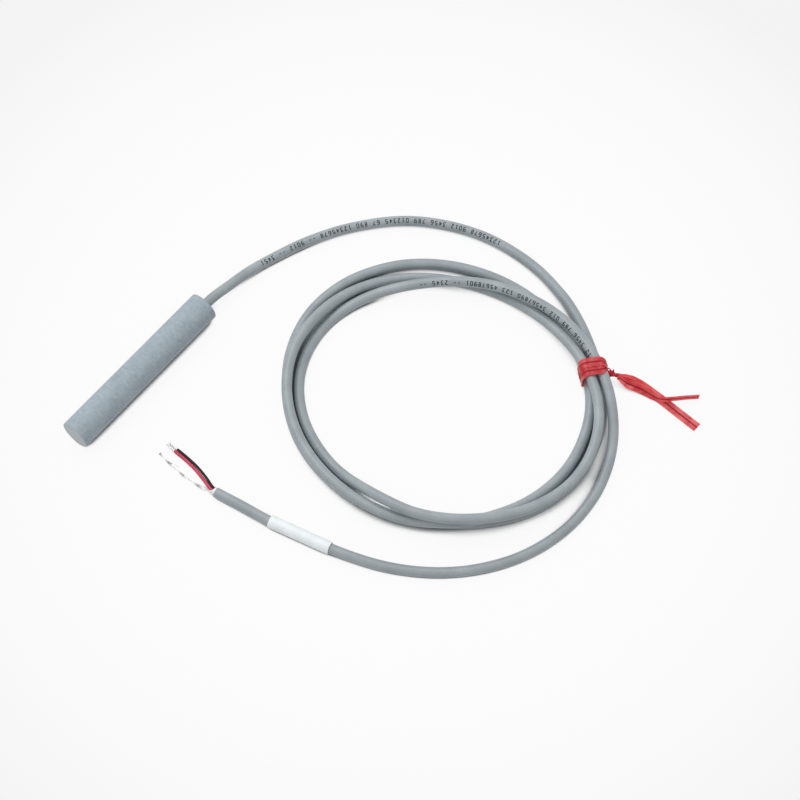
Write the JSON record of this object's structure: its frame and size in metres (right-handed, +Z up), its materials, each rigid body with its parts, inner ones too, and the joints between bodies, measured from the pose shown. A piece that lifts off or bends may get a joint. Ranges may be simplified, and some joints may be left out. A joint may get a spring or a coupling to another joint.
{
  "type": "ultrasonic distance sensor",
  "caption": "Plain grey cylindrical distance probe, potted, with a flat sensing face and a coiled, tied two-core shielded cable that ends in bare leads.",
  "frame": {"origin": "on the floor under the middle of the barrel, which lies on its side", "axes": "+X along the barrel out of the sensing face, +Z up, +Y to the side where the cable's coil lies"},
  "size_m": [0.1804, 0.1896, 0.0154],
  "materials": {
    "barrel_plastic": "turned, matte",
    "plug_resin": "cast, satin",
    "filled_epoxy": "matte",
    "piezo_ceramic": "matte with silvered faces",
    "damper_rubber": "matte",
    "copper": "drawn",
    "board": "satin",
    "chip_body": "matte",
    "tinned_metal": "tinned",
    "capacitor_body": "satin",
    "potting_resin": "cast",
    "cable_jacket": "extruded, satin",
    "anchor_nylon": "satin",
    "red_insulation": "satin",
    "black_insulation": "satin",
    "white_sleeve": "satin",
    "tie_ribbon": "glossy, slightly clear"
  },
  "bodies": {
    "root": {"barrel": "barrel_plastic", "rear_plug": "plug_resin", "matching_layer": "filled_epoxy", "piezo_disc": "piezo_ceramic", "damper": "damper_rubber", "isolation_sleeve": "damper_rubber", "transducer_wires": "copper", "circuit_board": "board", "pulse_transformer": "chip_body", "controller_chip": "chip_body", "amplifier_chip": "chip_body", "clock_crystal": "tinned_metal", "loop_regulator": "chip_body", "storage_capacitor": "capacitor_body", "chip_capacitors": "capacitor_body", "chip_resistors": "chip_body", "solder_joints": "tinned_metal", "potting": "potting_resin", "cable_stub": "cable_jacket", "anchor_ring": "anchor_nylon", "red_core": "red_insulation", "black_core": "black_insulation", "drain_core": "tinned_metal", "cable_leadout": "cable_jacket", "cable_coil": "cable_jacket", "cable_tail": "cable_jacket", "marker_sleeve": "white_sleeve", "red_lead": "red_insulation", "black_lead": "black_insulation", "red_tip": "tinned_metal", "black_tip": "tinned_metal", "drain_wire": "tinned_metal", "tie_band": "tie_ribbon", "tie_neck": "tie_ribbon", "tie_flat_tail": "tie_ribbon", "tie_edge_tail": "tie_ribbon"}
  },
  "joints": []
}
